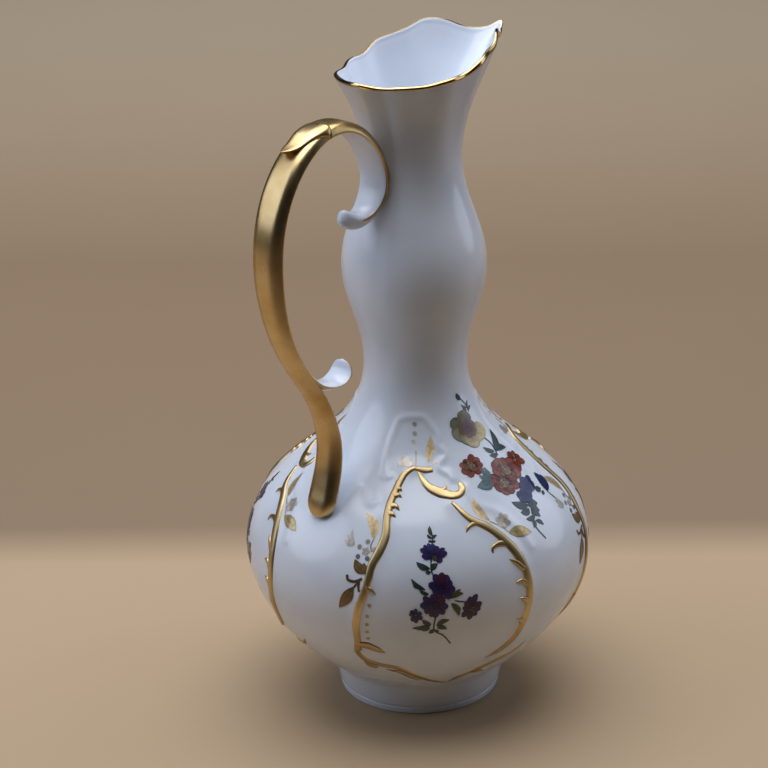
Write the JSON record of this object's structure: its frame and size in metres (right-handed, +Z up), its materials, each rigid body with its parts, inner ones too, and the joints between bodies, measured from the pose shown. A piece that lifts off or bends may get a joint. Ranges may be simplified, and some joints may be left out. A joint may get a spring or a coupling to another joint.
{
  "type": "porcelain jug",
  "caption": "Tall porcelain jug with a round belly, waisted neck, fluted spouted mouth, gilt scroll handle and raised gilt scroll panels.",
  "frame": {"origin": "middle of the whole object's bounding box, on the floor under the foot ring", "axes": "+Z up along the jug's axis, +X towards the spout, -X towards the handle"},
  "size_m": [0.1368, 0.1256, 0.2427],
  "materials": {
    "porcelain": "clear glossy glaze over cool white hard-paste porcelain",
    "gilt_porcelain": "burnished gold fired on glazed porcelain"
  },
  "bodies": {
    "root": {"foot_ring": "porcelain", "belly": "porcelain", "neck": "porcelain", "gilt_lip": "gilt_porcelain", "handle_strap": "gilt_porcelain", "handle_root": "gilt_porcelain", "handle_leaf": "gilt_porcelain", "stem_left_1": "gilt_porcelain", "leaf_scroll_1": "gilt_porcelain", "stem_right_1": "gilt_porcelain", "garland_1": "gilt_porcelain", "stem_left_2": "gilt_porcelain", "leaf_scroll_2": "gilt_porcelain", "stem_right_2": "gilt_porcelain", "garland_2": "gilt_porcelain", "stem_left_3": "gilt_porcelain", "leaf_scroll_3": "gilt_porcelain", "stem_right_3": "gilt_porcelain", "garland_3": "gilt_porcelain", "stem_left_4": "gilt_porcelain", "leaf_scroll_4": "gilt_porcelain", "stem_right_4": "gilt_porcelain", "garland_4": "gilt_porcelain"}
  },
  "joints": []
}
